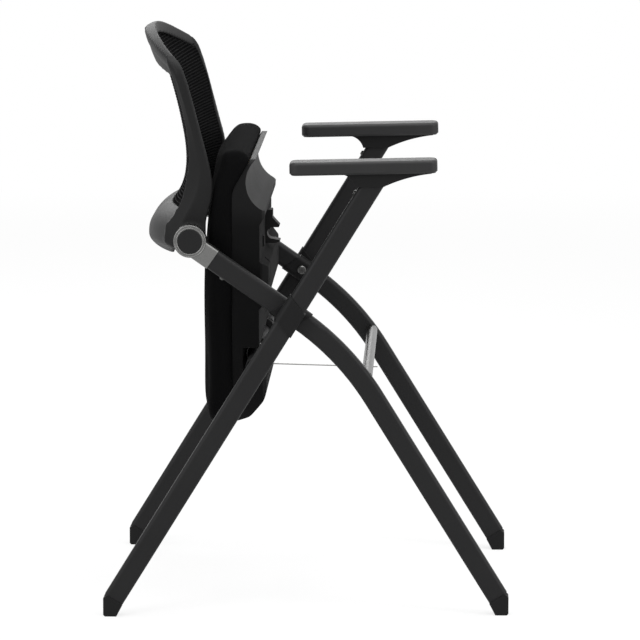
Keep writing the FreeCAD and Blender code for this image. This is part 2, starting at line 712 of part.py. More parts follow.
def hinge_blocks():
    """Saddle above the hinge tube, cap below it, and the screws that join them."""
    y_from, y_to = -HINGE_BLOCK_Y[1], -HINGE_BLOCK_Y[0]
    middle = (y_from + y_to) / 2
    half = TROUGH_HALF_WIDTH - 0.5
    bore = rod(HINGE_TUBE_RADIUS + RUNNING_GAP, HINGE, y_from, y_to)
    saddle_corner = V(HINGE.x - half, y_from, HINGE.z)
    saddle = Part.makeBox(2 * half, y_to - y_from, TROUGH_ROOF_Z - HINGE.z, saddle_corner)
    low = HINGE.z - HINGE_TUBE_RADIUS - 4
    outline = [
        (HINGE.x - half, HINGE.z),
        (HINGE.x - half, HINGE.z - 7),
        (HINGE.x - half + 5, low),
        (HINGE.x + half - 5, low),
        (HINGE.x + half, HINGE.z - 7),
        (HINGE.x + half, HINGE.z),
    ]
    cap = side_prism(outline, [0, 2, 5, 5, 2, 0], y_from, y_to)
    saddle = saddle.cut(bore)
    cap = cap.cut(bore)
    screws = []
    for side in (-1, 1):
        screw = hinge_screw(side, middle, 1.75)
        seat = V(HINGE.x + side * HINGE_SCREW_X, middle, low - 1)
        well = Part.makeCylinder(3.6, HINGE.z - 5 - low + 1, seat)
        saddle = saddle.cut(screw)
        cap = cap.cut(well).cut(screw)
        screws.append(screw)
    return saddle, cap, Part.Compound(screws)


def crossbar_buffers():
    """Rubber buffers in the shell's recess, which come down on the crossbar."""
    thickness = CROSSBAR_RECESS_Z - CROSSBAR.z - CROSSBAR_RADIUS - 0.4
    buffer = Part.makeBox(16, 14, thickness, V(CROSSBAR.x - 8, -107, CROSSBAR_RECESS_Z - thickness))
    low_edges = [e for e in buffer.Edges if e.BoundBox.ZMax < CROSSBAR_RECESS_Z - thickness + 0.01]
    return both(buffer.makeFillet(1, low_edges))


def turned_up(shape):
    """Turns a seat piece from level to its stored place, front edge up."""
    shape.rotate(HINGE, Y_AXIS, -90)
    return shape


def seat():
    shell = seat_shell()
    board = seat_board()
    cushion = seat_cushion().cut(shell).cut(board)
    saddle, cap, screws = hinge_blocks()
    shell_screws = [shell_screw(point, 2) for point in boss_points()]
    hook_screws = [hook_screw(side, 1.75) for side in (-1, 1)]
    save("seat_shell", turned_up(shell))
    save("seat_board", turned_up(board))
    save("seat_cushion", turned_up(cushion))
    save("shell_screws", turned_up(Part.Compound(shell_screws)))
    save("seat_hook", turned_up(hook_bracket()))
    save("hook_screws", turned_up(Part.Compound(hook_screws)))
    save("hinge_saddles", turned_up(both(saddle)))
    save("hinge_caps", turned_up(both(cap)))
    save("hinge_screws", turned_up(Part.Compound([screws, mirrored(screws)])))
    save("crossbar_buffers", turned_up(crossbar_buffers()))


# Backrest. Upright: height, front edge, edge between side and rear bevel, rear edge
UPRIGHT = [
    (528, -152, -194, -207),
    (564, -145.5, -183, -203),
    (589, -140.5, -170, -189),
    (612, -136, -160, -180),
    (635, -137, -155.5, -176),
    (659, -142, -156, -173),
    (683, -148.5, -160, -174),
    (716, -157, -169, -179),
    (757, -168, -180, -190),
    (800, -181, -193, -204),
    (826, -190, -202, -214),
    (850, -198, -210, -223),
]

# Head rail: height, front face at the side and in the middle, rear face likewise
HEAD = [
    (735, -163, -199, -174, -214),
    (770, -173, -206, -184, -226),
    (805, -182, -212, -195, -237),
    (850, -192, -217, -209, -250),
]

# Mesh: height and place of its side edge, then of its middle
MESH = [
    (552, -196, 548, -225),
    (566, -177, 562, -218),
    (585, -156, 580, -203),
    (605, -144, 603, -190),
    (630, -140, 632, -184),
    (668, -146, 680, -187),
    (712, -156, 732, -198),
    (762, -170, 783, -213),
    (812, -189, 836, -227),
]


def curved_sheet(rows, half):
    """Solid between two bowed faces, given row by row as their side and middle points."""
    sections = []
    for front_side, front_middle, rear_side, rear_middle in rows:
        corners = [at_y(front_side, -half), at_y(front_side, half)]
        corners += [at_y(rear_side, half), at_y(rear_side, -half)]
        sections.append(Part.Wire([
            Part.Arc(corners[0], front_middle, corners[1]).toShape(),
            Part.LineSegment(corners[1], corners[2]).toShape(),
            Part.Arc(corners[2], rear_middle, corners[3]).toShape(),
            Part.LineSegment(corners[3], corners[0]).toShape(),
        ]))
    return smooth_loft(sections)


def head_slab(front_shift, rear_shift):
    rows = []
    for z, front_side, front_middle, rear_side, rear_middle in HEAD:
        front = [xz(x + front_shift, z) for x in (front_side, front_middle)]
        rear = [xz(x + rear_shift, z) for x in (rear_side, rear_middle)]
        rows.append(front + rear)
    return curved_sheet(rows, BACK_OUTER_Y + 4)


def arched_prism(half, foot, shoulder, crown, corner):
    """Prism through the back with upright sides and a top arched between round shoulders."""
    rise = crown - shoulder
    arch_radius = (half * half + rise * rise) / (2 * rise)
    arch_z = crown - arch_radius
    corner_y = half - corner
    reach = arch_radius - corner
    corner_z = arch_z + math.sqrt(reach * reach - corner_y * corner_y)
    touch_way = V(0, corner_y, corner_z - arch_z).normalize()
    middle_way = (Y_AXIS + touch_way).normalize()
    centre = V(-300, corner_y, corner_z)
    side = centre + Y_AXIS * corner
    middle = centre + middle_way * corner
    touch = centre + touch_way * corner

    def other(point):
        return V(point.x, -point.y, point.z)

    base = V(-300, half, foot)
    edges = [
        Part.LineSegment(base, side).toShape(),
        Part.Arc(side, middle, touch).toShape(),
        Part.Arc(touch, V(-300, 0, crown), other(touch)).toShape(),
        Part.Arc(other(touch), other(middle), other(side)).toShape(),
        Part.LineSegment(other(side), other(base)).toShape(),
        Part.LineSegment(other(base), base).toShape(),
    ]
    return Part.Face(Part.Wire(edges)).extrude(V(200, 0, 0))


def back_upright():
    """Side member of the back, its front edge and its rear face bevelled."""
    sections = []
    bevel = 3.0
    for z, front, divide, rear in UPRIGHT:
        corners = [
            V(front, -BACK_OUTER_Y + bevel, z),
            V(front - bevel, -BACK_OUTER_Y, z),
            V(divide, -BACK_OUTER_Y, z),
            V(rear, -BACK_INNER_Y - 1, z),
            V(rear + 2, -BACK_INNER_Y, z),
            V(front - 2, -BACK_INNER_Y, z),
        ]
        sections.append(rounded_wire(corners, 0))
    return smooth_loft(sections).common(arched_prism(BACK_OUTER_Y, 500, 800, HEAD_TOP_Z, 34))


def lower_band():
    """Bowed band across the foot of the back, behind the seat."""
    half = BACK_INNER_Y + 4
    side_x = -206.0
    middle_x = -233.0
    rows = []
    for z in (500, 600):
        front = [xz(side_x + BAND_THICKNESS, z), xz(middle_x + BAND_THICKNESS, z)]
        rows.append(front + [xz(side_x, z), xz(middle_x, z)])
    band = curved_sheet(rows, half)
    outline = [(-180, 527), (-180, 585), (-196, 572), (-208, 563)]
    outline += [(-260, 563), (-260, 514), (-212, 514), (-198, 527)]
    return band.common(side_prism(outline, [0, 0, 8, 14, 0, 0, 14, 8], -half - 5, half + 5))


def backrest():
    rail_ring = arched_prism(BACK_OUTER_Y, 742, 800, HEAD_TOP_Z, 34)
    window = arched_prism(BACK_INNER_Y, 700, 787, HEAD_TOP_Z - 17, 24)
    rail = head_slab(0, 0).common(rail_ring.cut(window))
    rear_layer = head_slab(0, 3).cut(head_slab(3, 3 + SKIRT_THICKNESS))
    skirt_top = arched_prism(BACK_OUTER_Y - 3, 742, 798, HEAD_TOP_Z - 3, 32)
    skirt_foot = arched_prism(BACK_INNER_Y + 2, 700, 772, 786, 20)
    skirt = rear_layer.common(skirt_top).cut(skirt_foot)
    upright = back_upright()
    lug = rod(LUG_RADIUS, HUB, -HUB_INNER_Y + 0.6, -BACK_INNER_Y)
    frame = rail.fuse([skirt, lower_band(), upright, mirrored(upright), lug, mirrored(lug)])
    bush_seat = rod(BUSH_RADIUS, HUB, -HUB_INNER_Y, -BACK_INNER_Y + 10)
    frame = frame.cut(bush_seat).cut(mirrored(bush_seat))
    save("back_frame", frame)
    bush = ring(BUSH_RADIUS, AXLE_RADIUS + RUNNING_GAP, HUB, -HUB_INNER_Y + 0.6, -BACK_INNER_Y + 0.5)
    save("back_bushes", both(bush))
    rows = []
    for side_z, side_x, middle_z, middle_x in MESH:
        front = [xz(side_x, side_z), xz(middle_x, middle_z)]
        rear = [xz(side_x - MESH_THICKNESS, side_z), xz(middle_x - MESH_THICKNESS, middle_z)]
        rows.append(front + rear)
    sheet = curved_sheet(rows, BACK_INNER_Y + 5).cut(frame)
    save("back_mesh", max(sheet.Solids, key=lambda solid: solid.Volume))


def main():
    os.makedirs("parts", exist_ok=True)
    rear_leg = frame_tubes()
    clamp_fasteners()
    crossbars()
    stop_lugs()
    hubs()
    arms(rear_leg)
    return_spring()
    seat()
    backrest()


main()
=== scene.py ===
"""Looks of a nesting chair, stored with its seat flipped up, made round its fixed frame."""

import math

import bmesh
import bpy
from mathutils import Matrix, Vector
from mathutils.bvhtree import BVHTree


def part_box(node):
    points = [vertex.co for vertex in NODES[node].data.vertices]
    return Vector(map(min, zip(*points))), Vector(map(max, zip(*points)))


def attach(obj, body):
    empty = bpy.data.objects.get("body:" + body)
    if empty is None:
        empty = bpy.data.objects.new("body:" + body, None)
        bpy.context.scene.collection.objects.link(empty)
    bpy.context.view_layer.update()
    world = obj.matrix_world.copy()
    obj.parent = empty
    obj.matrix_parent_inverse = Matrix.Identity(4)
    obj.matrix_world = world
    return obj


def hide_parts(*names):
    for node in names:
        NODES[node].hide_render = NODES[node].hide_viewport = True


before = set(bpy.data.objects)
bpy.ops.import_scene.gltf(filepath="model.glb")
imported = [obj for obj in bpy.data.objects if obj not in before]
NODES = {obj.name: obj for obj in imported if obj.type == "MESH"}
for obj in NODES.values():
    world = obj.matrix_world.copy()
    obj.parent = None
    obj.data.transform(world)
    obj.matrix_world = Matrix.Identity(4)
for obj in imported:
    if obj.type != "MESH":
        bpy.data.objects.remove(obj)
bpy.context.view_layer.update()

bl_info = {
    "name": "Nesting chair",
    "version": (1, 0, 0),
    "blender": (4, 5, 0),
    "location": "View3D > Sidebar > Chair",
    "description": "Upholstery, net back and finishes of a nesting chair",
    "category": "Object",
}

# Camera, solved from the picture: place, heading and pitch, and lens for a 36 mm film
CAMERA_PLACE = Vector((0.2002, -6.3221, 1.3382))
CAMERA_YAW = math.radians(-1.699)
CAMERA_PITCH = math.radians(-8.483)
CAMERA_LENS = 240.4
FILM_WIDTH = 36.0

# Stage
FLOOR_HALF = 40.0
FLOOR_COLOUR = (0.88, 0.88, 0.88, 1.0)
SKY_COLOUR = (1.0, 1.0, 1.0, 1.0)
SKY_STRENGTH = 0.45
# Name, place, width and height, and power of each lamp
LAMPS = [
    ("overhead", (0.1, -0.3, 3.2), (3.0, 2.4), 85.0),
    ("front_left", (-2.6, -3.0, 2.0), (1.8, 2.4), 55.0),
    ("front_right", (3.0, -1.6, 1.9), (1.0, 2.6), 50.0),
    ("behind", (-0.8, 3.2, 2.2), (2.4, 1.6), 40.0),
]
# The floor looks this white near the chair, and plain white from the far reach on
GLOW_NEAR = 0.78
GLOW_NEAR_REACH = 1.2
GLOW_FAR_REACH = 5.0
CHAIR_MIDDLE = Vector((0.0, 0.0, 0.42))

# Net of the back
NET_HALF_WIDTH = 0.1995
NET_LOW_Z = 0.5560
NET_HIGH_Z = 0.8480
NET_INSET = 0.0010
# The net leans back more and more above this height; its ribs lie square to the lean
NET_UPRIGHT_Z = 0.600
NET_UPRIGHT_X = -0.139
NET_BEND = 1.05
# Ribs wrap the uprights' front faces between these heights
NET_WRAP_Y = 0.2145
NET_WRAP_LOW_Z = 0.600
NET_WRAP_HIGH_Z = 0.790
NET_PROUD = 0.0008
# Share of the head rail's roll that the net follows
NET_ROLL_SHARE = 0.7

# Head rail of the back: its front face at one height, how it leans, and how deep the rail is
HEAD_HALF_WIDTH = 0.2205
HEAD_Z = 0.805
HEAD_SIDE_X = -0.182
HEAD_SIDE_LEAN = 0.24
HEAD_MIDDLE_X = -0.212
HEAD_MIDDLE_LEAN = 0.14
HEAD_SIDE_DEPTH = 0.014
HEAD_MIDDLE_DEPTH = 0.028
# Its front face rolls back and its rear edge drops above the foot of the roll
ROLL_FOOT_Z = 0.772
ROLL_FULL_Z = 0.818
ROLL_BACK = 0.0125
ROLL_DROP = 0.006

# Hub face: beads round the cap and along the edge, how far in they lie, and their radius
HUB_EDGE_RADIUS = 0.0237
HUB_BEAD_INSET = 0.0013
HUB_BEAD_RADIUS = 0.0011
HUB_BEAD_SINK = 0.0003
HUB_BEAD_SIDES = 10
HUB_BEAD_STEPS = 64

# The shell is coarse up to this height, and the texture fades out over this much above it
SHELL_COARSE_Z = 0.560
COARSE_FADE = 0.070

# Lower band of the back: a hollow wall that bellies back, its lips rolled forward
BAND_HALF_WIDTH = 0.1985
BAND_LIP_X = -0.204
BAND_DEPTH = 0.0375
BAND_BELLY_Z = 0.531
BAND_TOP_HALF = 0.0495
BAND_LOW_HALF = 0.030
BAND_ROUNDNESS = 1.6
BAND_WALL = 0.006
BAND_BOW = 0.036
BAND_LOW_RISE = 0.029
BAND_STEPS_ALONG = 40
BAND_STEPS_ROUND = 20
# The plain band inside it follows its belly
CORE_LOW_Z = 0.514
CORE_HIGH_Z = 0.563
CORE_REACH_Z = 0.580
CORE_REAR_X = -0.190
CORE_BELLY = 0.004
CORE_BELLY_SHARE = 0.35
CORE_TOP_FORWARD = 0.038
CORE_END_BLEND = 0.012
# The uprights' feet are cut off slantwise behind the hubs
FOOT_X = -0.188
FOOT_Z = 0.528
FOOT_SLANT = 0.42
FOOT_WIDTH = 0.02
# Rounds of smoothing for the whole moulding, then for its head rail and for its lower band
MOULDING_ROUNDS = 3
HEAD_ROUNDS = 9
BAND_ROUNDS = 6

# Corners this near to each other are one
WELD_DISTANCE = 0.00002

# How finely noise lies on metal, along x, y and z: even specks, and level streaks on a bar
SPECK_SCALE = (300.0, 300.0, 300.0)
STREAK_SCALE = (60.0, 60.0, 900.0)

# Colours of pieces that hardly show
NYLON = (0.7, 0.69, 0.64)
PLY_DARK = (0.34, 0.22, 0.12)
PLY_PALE = (0.62, 0.47, 0.3)

# Moulded faces: how dark and pale their clouds are, and how their rubbed edges are paler
CLOUD_DARK = 0.8
CLOUD_PALE = 1.25
RUBBED_SHARE = 2.6
RUBBED_LIFT = 0.01
GRAIN_STRENGTH = 0.5

# Group names that several finishes share
GRAIN_GROUP = "Moulded grain"
WEAR_GROUP = "Edge wear"
WEAVE_GROUP = "Woven cloth"


class ChairSizes(bpy.types.PropertyGroup):
    """Sizes of the pieces that are made here"""

    rib_pitch: bpy.props.FloatProperty(
        name="Rib pitch", description="Height from one rib of the net to the next",
        default=0.0045, min=0.002, unit="LENGTH")
    rib_thickness: bpy.props.FloatProperty(
        name="Rib thickness", description="Diameter of a rib of the net",
        default=0.0021, min=0.0005, unit="LENGTH")
    thread_pitch: bpy.props.FloatProperty(
        name="Thread pitch", description="Width from one upright thread to the next",
        default=0.0021, min=0.001, unit="LENGTH")
    thread_thickness: bpy.props.FloatProperty(
        name="Thread thickness", description="Diameter of an upright thread of the net",
        default=0.0009, min=0.0003, unit="LENGTH")
    cushion_voxel: bpy.props.FloatProperty(
        name="Cushion fineness", description="Edge of the cushion's grid before it is filled",
        default=0.005, min=0.003, unit="LENGTH")
    cushion_shrink: bpy.props.FloatProperty(
        name="Cushion slack", description="How far the cover starts inside its filled shape",
        default=0.0022, min=0.0, unit="LENGTH")
    cushion_swell: bpy.props.FloatProperty(
        name="Cushion swell", description="How far the filling may push the cover out",
        default=0.0036, min=0.0, unit="LENGTH")
    cushion_pressure: bpy.props.FloatProperty(
        name="Cushion pressure", description="Push of the filling on the cover",
        default=4.0, min=0.0)
    moulding_voxel: bpy.props.FloatProperty(
        name="Moulding fineness", description="Edge of the back moulding's grid",
        default=0.0022, min=0.001, unit="LENGTH")


class ChairColours(bpy.types.PropertyGroup):
    """Colours of the finishes"""

    cloth: bpy.props.FloatVectorProperty(
        name="Seat cloth", description="Colour of the seat's woven cover",
        subtype="COLOR", default=(0.0042, 0.0042, 0.0044))
    net: bpy.props.FloatVectorProperty(
        name="Back net", description="Colour of the back's net",
        subtype="COLOR", default=(0.0034, 0.0034, 0.0036))
    tube: bpy.props.FloatVectorProperty(
        name="Tube coat", description="Colour of the coat on the legs",
        subtype="COLOR", default=(0.0075, 0.0075, 0.0078))
    plastic: bpy.props.FloatVectorProperty(
        name="Moulded plastic", description="Colour of the moulded black pieces",
        subtype="COLOR", default=(0.0072, 0.0072, 0.0074))
    metal: bpy.props.FloatVectorProperty(
        name="Bare metal", description="Colour of the silver hubs and bars",
        subtype="COLOR", default=(0.155, 0.155, 0.152))


def sizes():
    """The sizes that the panel shows."""
    return bpy.context.scene.chair_sizes


def colours():
    """The colours that the panel shows."""
    return bpy.context.scene.chair_colours


# Node wiring

def feed(tree, socket, value):
    """Links another socket to this one, or gives it a plain value."""
    if isinstance(value, bpy.types.NodeSocket):
        tree.links.new(value, socket)
    else:
        socket.default_value = value


def add(tree, kind, inputs=None, **settings):
    """New node with its settings, and with what feeds its inputs, by their names or numbers."""
    node = tree.nodes.new(kind)
    for name, value in settings.items():
        setattr(node, name, value)
    for key, value in (inputs or {}).items():
        feed(tree, node.inputs[key], value)
    return node


def maths(tree, operation, *values):
    """Result of a math node that sockets or plain numbers feed."""
    return add(tree, "ShaderNodeMath", dict(enumerate(values)), operation=operation).outputs[0]


def object_place(tree):
    """Place of the shaded point in its object's own space."""
    return add(tree, "ShaderNodeTexCoord").outputs["Object"]


def separate(tree, vector):
    """X, Y and Z of a vector."""
    return add(tree, "ShaderNodeSeparateXYZ", {"Vector": vector}).outputs


def blend_colour(tree, share, first, second):
    """Mixes two colours, each a socket or a plain colour, by a share."""
    node = add(tree, "ShaderNodeMix", {"Factor": share}, data_type="RGBA")
    sockets = [socket for socket in node.inputs if socket.type == "RGBA"]
    for socket, value in zip(sockets, (first, second)):
        feed(tree, socket, value if isinstance(value, bpy.types.NodeSocket) else (*value, 1.0))
    return next(socket for socket in node.outputs if socket.type == "RGBA")


def tinted(colour, share):
    """A colour made darker or paler by a share."""
    return [min(1.0, c * share) for c in colour]


def new_group(name, numbers):
    """Node group and the sockets of the numbers that it takes, given with their defaults."""
    tree = bpy.data.node_groups.new(name, "ShaderNodeTree")
    for label, default in numbers.items():
        socket = tree.interface.new_socket(label, in_out="INPUT", socket_type="NodeSocketFloat")
        socket.default_value = default
    return tree, add(tree, "NodeGroupInput").outputs


def give_results(tree, results):
    """Ends a node group with its results, by their labels."""
    for label, value in results.items():
        kind = "NodeSocketVector" if value.type == "VECTOR" else "NodeSocketFloat"
        tree.interface.new_socket(label, in_out="OUTPUT", socket_type=kind)
    add(tree, "NodeGroupOutput", results)


def build_grain_group():
    """Fine pebbled texture of moulded plastic or of a powder coat, and a cloudy one over it."""
    tree, given = new_group(GRAIN_GROUP, {"Size": 0.0006, "Blotch size": 0.05})
    place = object_place(tree)
    fine = add(tree, "ShaderNodeTexVoronoi", {
        "Vector": place, "Scale": maths(tree, "DIVIDE", 1.0, given["Size"]), "Smoothness": 0.6,
    }, feature="SMOOTH_F1")
    coarse = add(tree, "ShaderNodeTexNoise", {
        "Vector": place, "Scale": maths(tree, "DIVIDE", 1.0, given["Blotch size"]), "Detail": 3.0})
    give_results(tree, {"Height": fine.outputs["Distance"], "Blotch": coarse.outputs["Fac"]})


def build_wear_group():
    """Mask that is 1 along edges which hands and floors rub, broken up by noise."""
    tree, given = new_group(WEAR_GROUP, {"Radius": 0.0012, "Amount": 0.5})
    rounded = add(tree, "ShaderNodeBevel", {"Radius": given["Radius"]}, samples=4).outputs["Normal"]
    surface = add(tree, "ShaderNodeNewGeometry").outputs["Normal"]
    likeness = add(tree, "ShaderNodeVectorMath", {0: rounded, 1: surface}, operation="DOT_PRODUCT")
    edge = add(tree, "ShaderNodeMapRange", {
        "Value": likeness.outputs["Value"], "From Min": 0.99, "From Max": 0.86})
    patches = add(tree, "ShaderNodeTexNoise", {
        "Vector": object_place(tree), "Scale": 55.0, "Detail": 6.0})
    broken = maths(tree, "MULTIPLY", edge.outputs["Result"], patches.outputs["Fac"])
    mask = maths(tree, "MULTIPLY", broken, given["Amount"])
    give_results(tree, {"Mask": mask, "Soft normal": rounded})


def plain_weave(tree, across, along, pitch):
    """Height of a plain weave in one plane: threads over and under, each with a round back."""
    def wave(position):
        turn = maths(tree, "MULTIPLY", maths(tree, "DIVIDE", position, pitch), math.pi)
        return maths(tree, "SINE", turn)

    def thread(position, lift):
        round_back = maths(tree, "ABSOLUTE", wave(position))
        return maths(tree, "MULTIPLY", round_back, maths(tree, "MAXIMUM", lift, 0.0))

    over = maths(tree, "MULTIPLY", wave(across), wave(along))
    under = maths(tree, "MULTIPLY", over, -1.0)
    return maths(tree, "ADD", thread(across, over), thread(along, under))


def build_weave_group():
    """Plain weave laid on the piece from its three sides, with slubs in the yarn."""
    tree, given = new_group(WEAVE_GROUP, {"Pitch": 0.0012})
    surface = add(tree, "ShaderNodeTexCoord").outputs
    x, y, z = separate(tree, surface["Object"])
    height = 0.0
    for side, across, along in zip(separate(tree, surface["Normal"]), (y, x, x), (z, z, y)):
        share = maths(tree, "POWER", maths(tree, "ABSOLUTE", side), 4.0)
        part = maths(tree, "MULTIPLY", share, plain_weave(tree, across, along, given["Pitch"]))
        height = maths(tree, "ADD", height, part)
    slub = add(tree, "ShaderNodeTexNoise", {
        "Vector": surface["Object"], "Scale": 140.0, "Detail": 4.0})
    give_results(tree, {"Height": height, "Slub": slub.outputs["Fac"]})


# Parts of a finish

def new_material(name, inputs):
    """Material with a Principled shader; returns it, its tree and the shader."""
    material = bpy.data.materials.new(name)
    material.use_nodes = True
    tree = material.node_tree
    shader = tree.nodes["Principled BSDF"]
    for label, value in inputs.items():
        shader.inputs[label].default_value = value
    return material, tree, shader


def shared(tree, group_name, inputs):
    """Results of a shared group."""
    group = bpy.data.node_groups[group_name]
    return add(tree, "ShaderNodeGroup", inputs, node_tree=group).outputs


def add_bump(tree, shader, height, distance, strength, base=None):
    """Lets a height texture tilt the shader's normal, over a base normal if one is given."""
    inputs = {"Height": height, "Distance": distance, "Strength": strength}
    if base is not None:
        inputs["Normal"] = base
    feed(tree, shader.inputs["Normal"], add(tree, "ShaderNodeBump", inputs).outputs["Normal"])


def vary_roughness(tree, shader, mask, low, high):
    """Lets a mask take the roughness from low to high."""
    spread = add(tree, "ShaderNodeMapRange", {"Value": mask, "To Min": low, "To Max": high})
    feed(tree, shader.inputs["Roughness"], spread.outputs["Result"])


def roughen_below(tree, shader, height):
    """Raises the roughness to that of a coarse, unpolished face below a height."""
    low = add(tree, "ShaderNodeMapRange", {
        "Value": separate(tree, object_place(tree))["Z"],
        "From Min": height + COARSE_FADE, "From Max": height})
    usual = shader.inputs["Roughness"].links[0].from_socket
    coarse = maths(tree, "MAXIMUM", usual, low.outputs["Result"])
    feed(tree, shader.inputs["Roughness"], coarse)


# Finishes

def moulded_finish(name, colour, grain, roughness, specular, depth=0.00004, wear=0.5,
                   coarse_below=None):
    """Moulded plastic or coat: pebbled grain, cloudy gloss and edges rubbed a little paler."""
    material, tree, shader = new_material(name, {
        "Roughness": roughness[0], "Specular IOR Level": specular})
    texture = shared(tree, GRAIN_GROUP, {"Size": grain})
    rubbed = shared(tree, WEAR_GROUP, {"Amount": wear})
    body = blend_colour(tree, texture["Blotch"],
                        tinted(colour, CLOUD_DARK), tinted(colour, CLOUD_PALE))
    pale = [min(1.0, c * RUBBED_SHARE + RUBBED_LIFT) for c in colour]
    feed(tree, shader.inputs["Base Color"], blend_colour(tree, rubbed["Mask"], body, pale))
    vary_roughness(tree, shader, texture["Blotch"], *roughness)
    if coarse_below is not None:
        roughen_below(tree, shader, coarse_below)
    add_bump(tree, shader, texture["Height"], depth, GRAIN_STRENGTH, rubbed["Soft normal"])
    return material


def metal_finish(name, colour, roughness, noise_scale=SPECK_SCALE):
    """Bare or plated metal with fine specks, or with streaks where the noise is stretched."""
    material, tree, shader = new_material(name, {"Roughness": roughness, "Metallic": 1.0})
    stretched = add(tree, "ShaderNodeMapping", {
        "Vector": object_place(tree), "Scale": noise_scale})
    noise = add(tree, "ShaderNodeTexNoise", {
        "Vector": stretched.outputs["Vector"], "Scale": 1.0, "Detail": 4.0}).outputs["Fac"]
    shade = blend_colour(tree, noise, tinted(colour, 0.88), tinted(colour, 1.08))
    feed(tree, shader.inputs["Base Color"], shade)
    vary_roughness(tree, shader, noise, roughness * 0.75, roughness * 1.25)
    add_bump(tree, shader, noise, distance=0.00002, strength=0.3)
    return material


def cloth_finish(name, colour, pitch):
    """Woven cover with a faint sheen. Its colour follows the weave's height: painted shade down
    between the threads, and a painted highlight on their crowns.
    """
    material, tree, shader = new_material(name, {
        "Roughness": 0.9, "Specular IOR Level": 0.01, "Sheen Weight": 0.012,
        "Sheen Roughness": 0.4})
    weave = shared(tree, WEAVE_GROUP, {"Pitch": pitch})
    # Painted shade and highlight: the colour is darker down between the threads and paler on their
    # crowns, by the weave's height
    yarn = blend_colour(tree, weave["Height"], tinted(colour, 0.45), tinted(colour, 1.8))
    feed(tree, shader.inputs["Base Color"], blend_colour(tree, weave["Slub"], yarn, colour))
    add_bump(tree, shader, weave["Height"], distance=0.0003, strength=0.6)
    return material


def net_finish(name, colour):
    """Yarn of the net, a little uneven and almost without gloss."""
    material, tree, shader = new_material(name, {"Roughness": 0.8, "Specular IOR Level": 0.04})
    texture = shared(tree, GRAIN_GROUP, {"Size": 0.0004, "Blotch size": 0.02})
    yarn = blend_colour(tree, texture["Blotch"], tinted(colour, 0.6), tinted(colour, 1.5))
    feed(tree, shader.inputs["Base Color"], yarn)
    add_bump(tree, shader, texture["Height"], distance=0.0001, strength=0.5)
    return material


def plywood_finish(name):
    """Raw birch ply: thin layers in the edge, long grain on the face."""
    material, tree, shader = new_material(name, {"Roughness": 0.7, "Specular IOR Level": 0.3})
    place = object_place(tree)
    layers = add(tree, "ShaderNodeTexWave", {
        "Vector": place, "Scale": 95.0, "Distortion": 0.6}, bands_direction="X").outputs["Fac"]
    fibres = add(tree, "ShaderNodeTexNoise", {
        "Vector": place, "Scale": 160.0, "Detail": 5.0}).outputs["Fac"]
    wood = blend_colour(tree, maths(tree, "MULTIPLY", layers, fibres), PLY_DARK, PLY_PALE)
    feed(tree, shader.inputs["Base Color"], wood)
    add_bump(tree, shader, fibres, distance=0.0001, strength=0.4)
    return material


def build_finishes():
    """The shared groups first, then one material for each finish of the chair."""
    build_grain_group()
    build_wear_group()
    build_weave_group()
    tint = colours()
    return {
        "tube_coat": moulded_finish(
            "tube_coat", tint.tube, grain=0.0005, roughness=(0.46, 0.56), specular=0.2,
            depth=0.00002, wear=0.25),
        "moulded": moulded_finish(
            "moulded", tinted(tint.plastic, 0.75), grain=0.0006, roughness=(0.5, 0.62),
            specular=0.15),
        "arm_skin": moulded_finish(
            "arm_skin", tinted(tint.plastic, 1.5), grain=0.0008, roughness=(0.5, 0.62),
            specular=0.32, depth=0.00006, wear=0.6),
        "shell_skin": moulded_finish(
            "shell_skin", tinted(tint.plastic, 0.75), grain=0.0007, roughness=(0.5, 0.6),
            specular=0.09, coarse_below=SHELL_COARSE_Z),
        "back_skin": moulded_finish(
            "back_skin", tint.plastic, grain=0.0006, roughness=(0.5, 0.6), specular=0.16,
            wear=0.4),
        "hub_cap": moulded_finish(
            "hub_cap", tint.plastic, grain=0.0005, roughness=(0.5, 0.6), specular=0.18),
        "rubber": moulded_finish(
            "rubber", tint.plastic, grain=0.0004, roughness=(0.7, 0.8), specular=0.15),
        "nylon": moulded_finish(
            "nylon", NYLON, grain=0.0005, roughness=(0.4, 0.5), specular=0.5),
        "hub_metal": metal_finish("hub_metal", tinted(tint.metal, 1.15), 0.28),
        "bar_metal": metal_finish("bar_metal", tinted(tint.metal, 0.42), 0.3, STREAK_SCALE),
        "screw_metal": metal_finish("screw_metal", tinted(tint.metal, 0.6), 0.3),
        "spring_metal": metal_finish("spring_metal", tinted(tint.metal, 1.3), 0.3),
        "seat_cloth": cloth_finish("seat_cloth", tint.cloth, pitch=0.0011),
        "net_yarn": net_finish("net_yarn", tint.net),
        "plywood": plywood_finish("plywood"),
    }


# The nodes that each finish is for, without their sides
FINISH_OF_NODES = {
    "tube_coat": ("rear_leg", "front_leg", "hinge_tube", "seat_stop_lugs"),
    "moulded": ("rear_leg_sleeve", "front_leg_sleeve", "rear_glide", "front_glide", "arm_bracket",
                "hinge_saddles", "hinge_caps", "seat_hook"),
    "arm_skin": ("arm_pad",),
    "shell_skin": ("seat_shell",),
    "back_skin": ("back_frame",),
    "hub_cap": ("hub_cap",),
    "rubber": ("crossbar_buffers",),
    "nylon": ("back_bushes",),
    "hub_metal": ("hub_socket",),
    "bar_metal": ("front_crossbar",),
    "screw_metal": ("clamp_screws", "clamp_nuts", "arm_screws", "hub_screws", "hub_axles",
                    "axle_washers", "axle_nuts", "shell_screws", "hook_screws", "hinge_screws"),
    "spring_metal": ("seat_return_spring", "hub_springs"),
    "seat_cloth": ("seat_cushion",),
    "net_yarn": ("back_mesh",),
    "plywood": ("seat_board",),
}


def node_base(name):
    """A node's name without its side."""
    for side in ("_right", "_left"):
        if name.endswith(side):
            return name[: -len(side)]
    return name


def paint(thing, material):
    """Gives a whole object one material."""
    if thing.material_slots:
        for slot in thing.material_slots:
            slot.material = material
    else:
        thing.data.materials.append(material)


